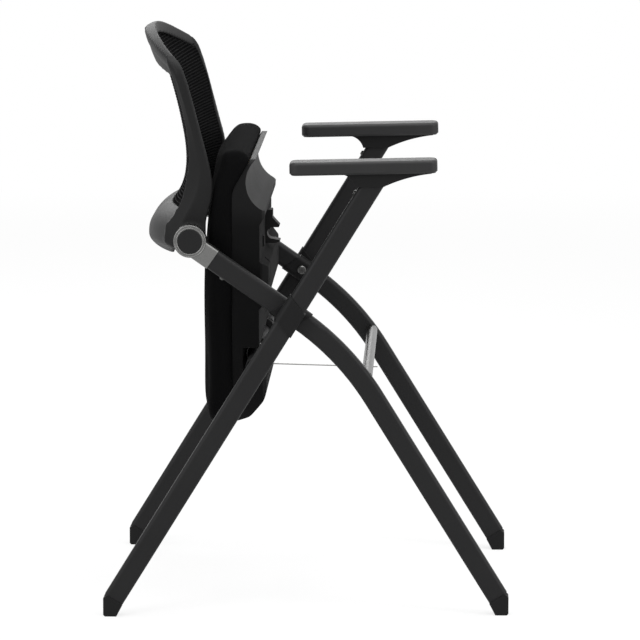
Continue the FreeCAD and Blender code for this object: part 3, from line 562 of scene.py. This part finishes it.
def finished_object(name, mesh, body, slot, *stands_for):
    """Object with its place in its mesh, riding on its body."""
    thing = bpy.data.objects.new(name, mesh)
    bpy.context.scene.collection.objects.link(thing)
    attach(thing, body)
    if stands_for:
        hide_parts(*stands_for)
    return thing


def merged_copy(node_name):
    """A node's mesh as a bmesh, its loose triangles joined."""
    work = bmesh.new()
    work.from_mesh(NODES[node_name].data)
    bmesh.ops.remove_doubles(work, verts=work.verts, dist=WELD_DISTANCE)
    return work


def smooth_step(value, low, high):
    """0 below low, 1 above high and a soft change between them."""
    share = min(1.0, max(0.0, (value - low) / (high - low)))
    return share * share * (3 - 2 * share)


def even_grid(context, thing, voxel):
    """Gives a closed mesh an even grid, so that its vertices can be moved and smoothed."""
    context.view_layer.objects.active = thing
    grid = thing.modifiers.new("even grid", "REMESH")
    grid.mode = "VOXEL"
    grid.voxel_size = voxel
    bpy.ops.object.modifier_apply(modifier=grid.name)


def smooth_where(work, rounds, wanted):
    """Averages the vertices that are wanted, round by round, so that edges turn round."""
    chosen = [vert for vert in work.verts if wanted(vert.co)]
    for _ in range(rounds):
        bmesh.ops.smooth_vert(work, verts=chosen, factor=0.5,
                              use_axis_x=True, use_axis_y=True, use_axis_z=True)


def rolled_head(point, depth_share=None):
    """Place of a point of the head rail once its front face has rolled back.

    The depth share is 1 on the rail's front face and 0 on its rear. Where it isn't given, it
    follows from the point's place.
    """
    bow = 1.0 - (point.y / HEAD_HALF_WIDTH) ** 2
    rise = smooth_step(point.z, ROLL_FOOT_Z, ROLL_FULL_Z)
    if bow <= 0.0 or rise == 0.0:
        return point
    if depth_share is None:
        up = point.z - HEAD_Z
        side_x = HEAD_SIDE_X - HEAD_SIDE_LEAN * up
        middle_x = HEAD_MIDDLE_X - HEAD_MIDDLE_LEAN * up
        front_x = side_x + (middle_x - side_x) * bow
        depth = HEAD_SIDE_DEPTH + (HEAD_MIDDLE_DEPTH - HEAD_SIDE_DEPTH) * bow
        depth_share = min(1.0, max(0.0, 1.0 + (point.x - front_x) / depth))
    back = ROLL_BACK * bow * rise * depth_share
    drop = ROLL_DROP * bow * rise * (1.0 - depth_share) ** 2
    return point - Vector((back, 0.0, drop))


def surface_tree(node_name):
    """A node's surface, ready for rays and nearest points."""
    work = merged_copy(node_name)
    tree = BVHTree.FromBMesh(work)
    work.free()
    return tree


# Operators, one for each piece or group of pieces

class OBJECT_OT_chair_finishes(bpy.types.Operator):
    """Makes the finishes and paints every carried-over piece"""

    bl_idname = "object.chair_finishes"
    bl_label = "Finishes"

    def execute(self, context):
        finishes = build_finishes()
        finish_by_base = {
            base: finish for finish, bases in FINISH_OF_NODES.items() for base in bases}
        for name, node in NODES.items():
            paint(node, finishes[finish_by_base[node_base(name)]])
        return {"FINISHED"}


class OBJECT_OT_chair_stage(bpy.types.Operator):
    """Sets the camera, the lamps and the pale floor"""

    bl_idname = "object.chair_stage"
    bl_label = "Stage"

    def execute(self, context):
        scene = context.scene
        scene.view_settings.view_transform = "Standard"
        camera = bpy.data.objects.new("camera", bpy.data.cameras.new("camera"))
        scene.collection.objects.link(camera)
        scene.camera = camera
        camera.data.lens = CAMERA_LENS
        camera.data.sensor_width = FILM_WIDTH
        camera.data.clip_end = 200.0
        camera.location = CAMERA_PLACE
        heading = Vector((math.sin(CAMERA_YAW) * math.cos(CAMERA_PITCH),
                          math.cos(CAMERA_YAW) * math.cos(CAMERA_PITCH),
                          math.sin(CAMERA_PITCH)))
        camera.rotation_euler = heading.to_track_quat("-Z", "Y").to_euler()
        for name, place, size, power in LAMPS:
            self.add_lamp(scene, name, Vector(place), size, power)
        self.add_floor(scene)
        self.light_world(scene)
        return {"FINISHED"}

    def add_lamp(self, scene, name, place, size, power):
        """Soft lamp that is turned to the chair's middle."""
        lamp = bpy.data.objects.new(name, bpy.data.lights.new(name, "AREA"))
        lamp.data.shape = "RECTANGLE"
        lamp.data.size, lamp.data.size_y = size
        lamp.data.energy = power
        lamp.location = place
        lamp.rotation_euler = (CHAIR_MIDDLE - place).to_track_quat("-Z", "Y").to_euler()
        scene.collection.objects.link(lamp)

    def seen_share(self, tree, share):
        """Share of plain white that camera, mirror and glass rays see, and 0 for light."""
        ray = add(tree, "ShaderNodeLightPath").outputs
        either = maths(tree, "MAXIMUM", ray["Is Camera Ray"], ray["Is Glossy Ray"])
        seen = maths(tree, "MAXIMUM", either, ray["Is Transmission Ray"])
        return maths(tree, "MULTIPLY", seen, share)

    def add_floor(self, scene):
        """Matt floor that takes shadows and glows towards its far edge."""
        work = bmesh.new()
        bmesh.ops.create_grid(work, x_segments=1, y_segments=1, size=FLOOR_HALF)
        mesh = bpy.data.meshes.new("floor")
        work.to_mesh(mesh)
        work.free()
        floor = bpy.data.objects.new("floor", mesh)
        scene.collection.objects.link(floor)
        material = bpy.data.materials.new("pale_floor")
        material.use_nodes = True
        tree = material.node_tree
        tree.nodes.remove(tree.nodes["Principled BSDF"])
        both = add(tree, "ShaderNodeMixShader", {
            0: self.seen_share(tree, self.glow_share(tree)),
            1: add(tree, "ShaderNodeBsdfDiffuse", {"Color": FLOOR_COLOUR}).outputs["BSDF"],
            2: add(tree, "ShaderNodeEmission").outputs["Emission"]})
        feed(tree, tree.nodes["Material Output"].inputs["Surface"], both.outputs["Shader"])
        mesh.materials.append(material)

    def glow_share(self, tree):
        """White grows from the chair's shadow outwards, until the far floor is plain white."""
        away = add(tree, "ShaderNodeVectorMath", {0: object_place(tree)}, operation="LENGTH")
        return add(tree, "ShaderNodeMapRange", {
            "Value": away.outputs["Value"], "To Min": GLOW_NEAR,
            "From Min": GLOW_NEAR_REACH, "From Max": GLOW_FAR_REACH}).outputs["Result"]

    def light_world(self, scene):
        """Plain white where it is seen, and a softer light from all round."""
        world = bpy.data.worlds.new("studio")
        scene.world = world
        world.use_nodes = True
        tree = world.node_tree
        sky = tree.nodes["Background"]
        feed(tree, sky.inputs["Color"], SKY_COLOUR)
        strength = maths(tree, "MAXIMUM", self.seen_share(tree, 1.0), SKY_STRENGTH)
        feed(tree, sky.inputs["Strength"], strength)


class OBJECT_OT_chair_seat_cushion(bpy.types.Operator):
    """Fills the seat cushion's cover with foam and lets it settle"""

    bl_idname = "object.chair_seat_cushion"
    bl_label = "Seat cushion"

    # The cover is held this near to what carries it, and free beyond the second distance
    held_within = 0.004
    free_beyond = 0.016
    # Corners turn round where the hold is weaker than this
    loose_below = 0.5
    # The front edge, on top here: where its crown starts and is full, its middle, and its lift
    crown_foot_z = 0.640
    crown_full_z = 0.715
    crown_x = -0.095
    crown_half = 0.032
    crown_lift = 0.0035
    crown_rise = 0.0045
    smooth_rounds = 5
    settle_frames = 20

    def execute(self, context):
        carriers = [surface_tree(name) for name in ("seat_shell", "seat_board", "back_frame")]
        work = merged_copy("seat_cushion")
        work.normal_update()
        for vert in work.verts:
            vert.co -= vert.normal * sizes().cushion_shrink * (1.0 - self.hold(vert.co, carriers))
        mesh = bpy.data.meshes.new("seat_cushion_cover")
        work.to_mesh(mesh)
        work.free()
        cover = finished_object("seat_cushion_cover", mesh, "seat", "seat_fabric", "seat_cushion")
        even_grid(context, cover, sizes().cushion_voxel)
        self.round_off(cover, carriers)
        self.fill(context, cover, carriers)
        softer = cover.modifiers.new("soft surface", "SUBSURF")
        softer.levels = softer.render_levels = 1
        for face in cover.data.polygons:
            face.use_smooth = True
        paint(cover, bpy.data.materials["seat_cloth"])
        return {"FINISHED"}

    def hold(self, point, carriers):
        """1 where the cover touches a carrier's surface, falling to 0 away from it."""
        gap = min(tree.find_nearest(point)[3] for tree in carriers)
        return 1.0 - smooth_step(gap, self.held_within, self.free_beyond)

    def round_off(self, cover, carriers):
        """Crowns the front edge, which is on top here, and turns the cover's corners round."""
        work = bmesh.new()
        work.from_mesh(cover.data)
        for vert in work.verts:
            rise = smooth_step(vert.co.z, self.crown_foot_z, self.crown_full_z)
            across = (vert.co.x - self.crown_x) / self.crown_half
            crown = self.crown_rise * max(0.0, 1.0 - across * across)
            vert.co.z += rise * (self.crown_lift + crown)
        smooth_where(work, self.smooth_rounds,
                     lambda place: self.hold(place, carriers) < self.loose_below)
        work.to_mesh(cover.data)
        work.free()

    def fill(self, context, cover, carriers):
        """Cloth with inner pressure, held where it is pulled over the board's edge."""
        rest = [vert.co.copy() for vert in cover.data.vertices]
        held = cover.vertex_groups.new(name="held")
        for vert in cover.data.vertices:
            held.add([vert.index], self.hold(vert.co, carriers), "REPLACE")
        cloth = cover.modifiers.new("cover", "CLOTH")
        settings = cloth.settings
        settings.use_pressure = True
        settings.uniform_pressure_force = sizes().cushion_pressure
        settings.effector_weights.gravity = 0.0
        settings.vertex_group_mass = held.name
        settings.tension_stiffness = 8.0
        settings.compression_stiffness = 8.0
        settings.bending_stiffness = 0.4
        for step in range(1, self.settle_frames + 1):
            context.scene.frame_set(step)
        bpy.ops.object.modifier_apply(modifier=cloth.name)
        context.scene.frame_set(1)
        for vert in cover.data.vertices:
            move = vert.co - rest[vert.index]
            if move.length > sizes().cushion_swell:
                vert.co = rest[vert.index] + move.normalized() * sizes().cushion_swell
        cover.vertex_groups.clear()


class OBJECT_OT_chair_hub_rims(bpy.types.Operator):
    """Lays two turned beads on the face of each hub"""

    bl_idname = "object.chair_hub_rims"
    bl_label = "Hub rims"

    def execute(self, context):
        for side, outer_corner, inward in (("right", 0, 1), ("left", 1, -1)):
            low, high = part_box("hub_cap_" + side)
            face_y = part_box("hub_socket_" + side)[outer_corner][1] + HUB_BEAD_SINK * inward
            centre = Vector(((low[0] + high[0]) / 2, face_y, (low[2] + high[2]) / 2))
            cap_radius = (high[0] - low[0]) / 2
            work = bmesh.new()
            for radius in (cap_radius + HUB_BEAD_INSET, HUB_EDGE_RADIUS - HUB_BEAD_INSET):
                self.add_bead(work, centre, radius)
            mesh = bpy.data.meshes.new("hub_rim_" + side)
            work.to_mesh(mesh)
            work.free()
            for face in mesh.polygons:
                face.use_smooth = True
            rim = finished_object("hub_rim_" + side, mesh, "frame", "silver_hub")
            paint(rim, bpy.data.materials["hub_metal"])
        return {"FINISHED"}

    def add_bead(self, work, centre, radius):
        """Small round section spun about the hub's axis."""
        section = bmesh.ops.create_circle(
            work, segments=HUB_BEAD_SIDES, radius=HUB_BEAD_RADIUS)["verts"]
        bmesh.ops.translate(work, verts=section, vec=centre + Vector((radius, 0.0, 0.0)))
        edges = [edge for edge in work.edges if all(vert in section for vert in edge.verts)]
        bmesh.ops.spin(
            work, geom=section + edges, cent=centre, axis=(0.0, 1.0, 0.0),
            angle=2 * math.pi, steps=HUB_BEAD_STEPS, use_merge=True, use_duplicate=False)
        bmesh.ops.recalc_face_normals(work, faces=work.faces[:])


class OBJECT_OT_chair_back_moulding(bpy.types.Operator):
    """Rounds off the back's frame, with a rolled head rail and a hollow lower band"""

    bl_idname = "object.chair_back_moulding"
    bl_label = "Back moulding"

    def execute(self, context):
        work = merged_copy("back_frame")
        for vert in work.verts:
            vert.co = self.shaped_foot(vert.co)
        self.band_wall(work)
        mesh = bpy.data.meshes.new("back_moulding")
        work.to_mesh(mesh)
        work.free()
        moulding = finished_object("back_moulding", mesh, "backrest", "back_plastic", "back_frame")
        even_grid(context, moulding, sizes().moulding_voxel)
        work = bmesh.new()
        work.from_mesh(moulding.data)
        for vert in work.verts:
            vert.co = rolled_head(vert.co)
        smooth_where(work, MOULDING_ROUNDS, lambda place: True)
        smooth_where(work, HEAD_ROUNDS, lambda place: place.z > ROLL_FOOT_Z)
        smooth_where(work, BAND_ROUNDS,
                     lambda place: place.z < CORE_REACH_Z and place.x < CORE_REAR_X)
        work.to_mesh(moulding.data)
        work.free()
        for face in moulding.data.polygons:
            face.use_smooth = True
        paint(moulding, bpy.data.materials["back_skin"])
        return {"FINISHED"}

    def band_wall(self, work):
        """Adds the band's wall, a grid that is wrapped on its round section and bowed in plan."""
        wall = bmesh.new()
        bmesh.ops.create_grid(
            wall, x_segments=BAND_STEPS_ALONG, y_segments=BAND_STEPS_ROUND, size=1.0)
        for vert in wall.verts:
            along, turn = vert.co.x, vert.co.y * math.pi / 2
            half = BAND_TOP_HALF if turn > 0 else BAND_LOW_HALF
            belly = BAND_DEPTH * math.cos(turn) ** BAND_ROUNDNESS
            x = BAND_LIP_X - belly + BAND_BOW * along * along
            rise = self.low_rise(along) * (1.0 - vert.co.y) / 2
            vert.co = (x, along * BAND_HALF_WIDTH, BAND_BELLY_Z + half * math.sin(turn) + rise)
        bmesh.ops.solidify(wall, geom=wall.faces[:], thickness=BAND_WALL)
        bmesh.ops.recalc_face_normals(wall, faces=wall.faces[:])
        mesh = bpy.data.meshes.new("band_wall")
        wall.to_mesh(mesh)
        wall.free()
        work.from_mesh(mesh)
        bpy.data.meshes.remove(mesh)

    def low_rise(self, along):
        """How far the band's lower lip has risen, a share of the way from the middle to an end."""
        return BAND_LOW_RISE * (1.0 - (1.0 - min(1.0, abs(along))) ** 2)

    def shaped_foot(self, point):
        """Place of a point low on the back: the plain band bellies, the feet are slanted."""
        if point.z > CORE_REACH_Z or point.x > CORE_REAR_X + CORE_TOP_FORWARD:
            return point
        moved = point.copy()
        inward = smooth_step(BAND_HALF_WIDTH - abs(point.y), 0.0, CORE_END_BLEND)
        height = min(1.0, max(0.0, (point.z - CORE_LOW_Z) / (CORE_HIGH_Z - CORE_LOW_Z)))
        if point.x < CORE_REAR_X:
            moved.x += (CORE_TOP_FORWARD * (height - CORE_BELLY_SHARE) ** 2 - CORE_BELLY) * inward
            moved.z += self.low_rise(point.y / BAND_HALF_WIDTH) * (1.0 - height) * inward
        slanted_foot = FOOT_Z + FOOT_SLANT * max(0.0, FOOT_X - moved.x)
        if abs(point.y) > BAND_HALF_WIDTH - FOOT_WIDTH and moved.z < slanted_foot:
            moved.z = slanted_foot
        return moved


class OBJECT_OT_chair_back_net(bpy.types.Operator):
    """Strings the back's net: ribs across and fine threads up"""

    bl_idname = "object.chair_back_net"
    bl_label = "Back net"

    # A thread sways by this share of its pitch from rib to rib
    sway = 0.14
    # A rib bends at each fourth thread
    rib_stride = 4
    # First guess at the bow of the net, and the rounds that mend it
    usual_bow = 0.036
    lean_rounds = 3

    def execute(self, context):
        skin = surface_tree("back_mesh")
        frame_skin = surface_tree("back_frame")
        made = sizes()
        rib_count = int((NET_HIGH_Z - NET_LOW_Z) / made.rib_pitch)
        heights = [NET_LOW_Z + k * made.rib_pitch for k in range(rib_count)]
        half_count = int(NET_HALF_WIDTH / made.thread_pitch)
        places = [k * NET_HALF_WIDTH / half_count for k in range(-half_count, half_count + 1)]
        knots = [[self.knot(skin, y, z) for y in places] for z in heights]
        ribs = [self.wrapped([p for p in row[::self.rib_stride] if p], frame_skin)
                for row in knots]
        sway = Vector((0.0, made.thread_pitch * self.sway, 0.0))
        threads = [[p + sway * (-1) ** k for k, p in enumerate(column) if p]
                   for column in zip(*knots)]
        self.strings("net_ribs", ribs, made.rib_thickness, resolution=1)
        self.strings("net_threads", threads, made.thread_thickness, resolution=0)
        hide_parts("back_mesh")
        return {"FINISHED"}

    def knot(self, skin, y, side_z):
        """Where the rib that starts at a height of the side edge crosses a thread, or None."""
        above = side_z - NET_UPRIGHT_Z
        lean = max(0.0, 2.0 * NET_BEND * above)
        side_x = NET_UPRIGHT_X - NET_BEND * above * above
        bow = 1.0 - (y / NET_HALF_WIDTH) ** 2
        z = side_z - lean * self.usual_bow * bow
        for _ in range(self.lean_rounds):
            hit = skin.ray_cast(Vector((0.0, y, z)), Vector((-1.0, 0.0, 0.0)))[0]
            if hit is None:
                return None
            z = side_z + lean * min(0.0, hit.x - side_x)
        return rolled_head(hit - Vector((NET_INSET, 0.0, 0.0)), NET_ROLL_SHARE)

    def wrapped(self, rib, frame_skin):
        """The rib with its ends laid over the uprights' front faces."""
        if len(rib) < 2 or not NET_WRAP_LOW_Z < rib[0].z < NET_WRAP_HIGH_Z:
            return rib
        ends = []
        for point, side in ((rib[0], -1), (rib[-1], 1)):
            start = Vector((0.0, side * NET_WRAP_Y, point.z))
            hit = frame_skin.ray_cast(start, Vector((-1.0, 0.0, 0.0)))[0]
            ends.append(hit + Vector((NET_PROUD, 0.0, 0.0)) if hit else None)
        return [p for p in (ends[0], *rib, ends[1]) if p]

    def strings(self, name, paths, thickness, resolution):
        """One piece of round strings along their paths; the resolution sets their sides."""
        curve = bpy.data.curves.new(name, "CURVE")
        curve.dimensions = "3D"
        curve.bevel_depth = thickness / 2
        curve.bevel_resolution = resolution
        curve.use_fill_caps = True
        for path in paths:
            if len(path) < 2:
                continue
            spline = curve.splines.new("POLY")
            spline.points.add(len(path) - 1)
            for point, place in zip(spline.points, path):
                point.co = (*place, 1.0)
        holder = bpy.data.objects.new(name + "_path", curve)
        bpy.context.scene.collection.objects.link(holder)
        mesh = bpy.data.meshes.new_from_object(holder)
        bpy.data.objects.remove(holder)
        for face in mesh.polygons:
            face.use_smooth = True
        thing = finished_object(name, mesh, "backrest", "back_mesh_fabric")
        paint(thing, bpy.data.materials["net_yarn"])


class VIEW3D_PT_chair(bpy.types.Panel):
    """Lists the steps that make the chair"""

    bl_label = "Nesting chair"
    bl_idname = "VIEW3D_PT_chair"
    bl_space_type = "VIEW_3D"
    bl_region_type = "UI"
    bl_category = "Chair"

    def draw(self, context):
        for operator in OPERATORS:
            self.layout.operator(operator.bl_idname)
        for group in (context.scene.chair_sizes, context.scene.chair_colours):
            for name in group.__annotations__:
                self.layout.prop(group, name)


OPERATORS = (
    OBJECT_OT_chair_finishes,
    OBJECT_OT_chair_stage,
    OBJECT_OT_chair_seat_cushion,
    OBJECT_OT_chair_hub_rims,
    OBJECT_OT_chair_back_moulding,
    OBJECT_OT_chair_back_net,
)
CLASSES = (ChairSizes, ChairColours, *OPERATORS, VIEW3D_PT_chair)


def register():
    for cls in CLASSES:
        bpy.utils.register_class(cls)
    bpy.types.Scene.chair_sizes = bpy.props.PointerProperty(type=ChairSizes)
    bpy.types.Scene.chair_colours = bpy.props.PointerProperty(type=ChairColours)


def unregister():
    del bpy.types.Scene.chair_colours
    del bpy.types.Scene.chair_sizes
    for cls in reversed(CLASSES):
        bpy.utils.unregister_class(cls)


def main():
    register()
    bpy.ops.object.chair_stage()
    bpy.ops.object.chair_finishes()
    bpy.ops.object.chair_seat_cushion()
    bpy.ops.object.chair_hub_rims()
    bpy.ops.object.chair_back_moulding()
    bpy.ops.object.chair_back_net()


if __name__ == "__main__":
    main()
